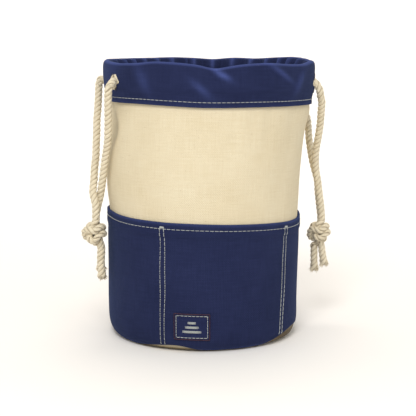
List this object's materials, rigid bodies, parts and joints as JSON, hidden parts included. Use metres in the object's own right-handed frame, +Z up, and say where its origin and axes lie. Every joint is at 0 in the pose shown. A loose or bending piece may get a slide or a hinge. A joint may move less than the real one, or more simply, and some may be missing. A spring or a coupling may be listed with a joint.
{
  "type": "drawstring canvas sack",
  "caption": "Small upright canvas drawstring sack with a navy roped casing round its mouth and a navy band of slip pockets round its lower half.",
  "frame": {"origin": "centre of the underside of the round base", "axes": "+Z up through the mouth; -Y the front, the middle of the pocket that carries the label; +X the right-hand drawstring"},
  "size_m": [0.2558, 0.1912, 0.266],
  "materials": {
    "natural_canvas": "matte",
    "navy_canvas": "matte",
    "navy_thread": "satin",
    "pale_thread": "satin",
    "label_cloth": "satin",
    "cotton_rope": "matte"
  },
  "bodies": {
    "sack": {"base_disc": "natural_canvas", "base_binding": "natural_canvas", "body_panel": "natural_canvas", "body_seam": "natural_canvas", "pocket_band": "navy_canvas", "pocket_hem": "navy_canvas", "band_seam": "navy_canvas", "casing": "navy_canvas", "casing_seam": "navy_canvas", "buttonhole_left_front": "navy_thread", "buttonhole_left_back": "navy_thread", "buttonhole_right_front": "navy_thread", "buttonhole_right_back": "navy_thread", "pocket_hem_thread": "pale_thread", "divider_thread_front_left": "pale_thread", "divider_thread_front_right": "pale_thread", "divider_thread_back_left": "pale_thread", "divider_thread_back_right": "pale_thread", "casing_hem_thread": "pale_thread", "label_patch": "label_cloth", "label_thread": "pale_thread", "label_motif": "pale_thread", "left_rope_in_casing": "cotton_rope", "right_rope_in_casing": "cotton_rope"},
    "left_strands": {"left_front_strand": "cotton_rope", "left_back_strand": "cotton_rope"},
    "left_knot_end": {"left_knot": "cotton_rope", "left_front_tail": "cotton_rope", "left_back_tail": "cotton_rope"},
    "right_strands": {"right_front_strand": "cotton_rope", "right_back_strand": "cotton_rope"},
    "right_knot_end": {"right_knot": "cotton_rope", "right_front_tail": "cotton_rope", "right_back_tail": "cotton_rope"}
  },
  "joints": [
    {"name": "left_swing", "type": "hinge", "parent": "sack", "child": "left_strands", "pos_m": [-0.102, 0, 0.249], "axis": [0, 1, 0], "range_deg": [0, 110]},
    {"name": "left_draw", "type": "slide", "parent": "left_strands", "child": "left_knot_end", "axis": [0, 0, -1], "range_m": [0, 0.045]},
    {"name": "right_swing", "type": "hinge", "parent": "sack", "child": "right_strands", "pos_m": [0.1025, 0, 0.2434], "axis": [0, -1, 0], "range_deg": [0, 110]},
    {"name": "right_draw", "type": "slide", "parent": "right_strands", "child": "right_knot_end", "axis": [0, 0, -1], "range_m": [0, 0.045]}
  ]
}
